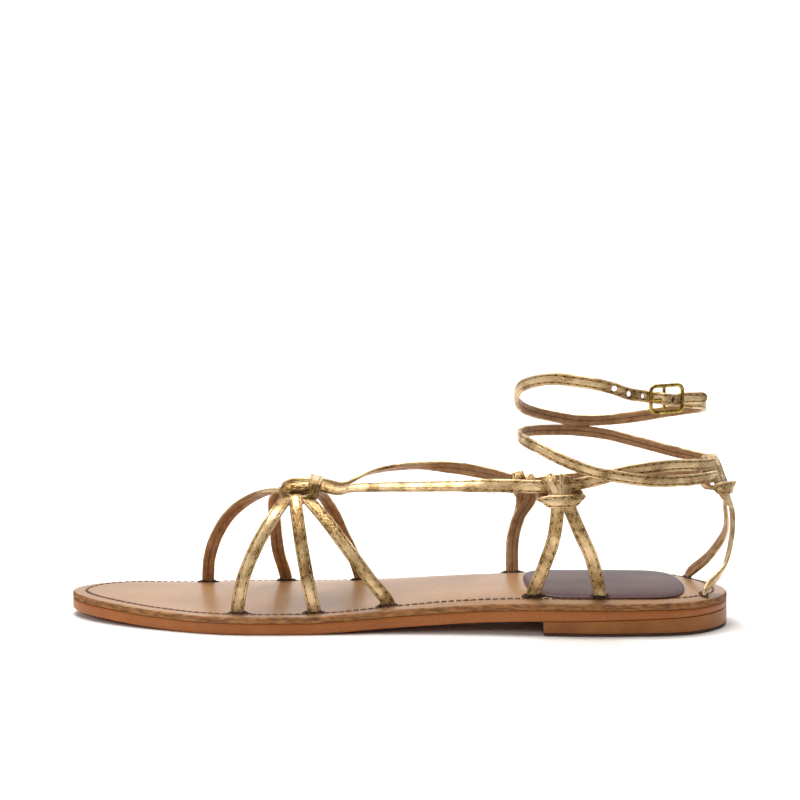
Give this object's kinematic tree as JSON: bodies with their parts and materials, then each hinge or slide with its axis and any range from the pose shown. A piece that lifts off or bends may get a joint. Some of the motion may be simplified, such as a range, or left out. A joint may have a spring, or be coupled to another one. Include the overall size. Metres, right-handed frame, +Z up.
{
  "type": "gladiator sandal",
  "caption": "Flat strappy gladiator sandal for a left foot: shaped leather sole, low heel, knotted narrow straps over toes and instep, ankle strap wound twice with a small buckle.",
  "frame": {"origin": "centre of the sandal's bounding box at floor level", "axes": "+X from toe to heel, +Y towards the inner side of the foot, +Z up"},
  "size_m": [0.2538, 0.0832, 0.0964],
  "materials": {
    "sole_leather": "smooth buffed sole leather, satin, orange-tan",
    "heel_stack": "pressed heel board, satin, slightly duller than the outsole",
    "heel_rubber": "dark brown rubber with a finely ribbed edge",
    "insole_leather": "glossy smooth tan leather with raw golden-brown edge and brown lockstitch",
    "patch_leather": "smooth plum-brown leather, satin, bare",
    "metallic_leather": "crackled metallic gold foil on folded leather, stitched along both edges, bare tan inner side",
    "buckle_brass": "polished yellow brass, slightly darkened in the corners"
  },
  "bodies": {
    "root": {"outsole": "sole_leather", "heel_block": "heel_stack", "heel_top_piece": "heel_rubber", "insole": "insole_leather", "heel_patch": "patch_leather", "upper": "metallic_leather", "buckle_frame": "buckle_brass", "buckle_prong": "buckle_brass"}
  },
  "joints": []
}
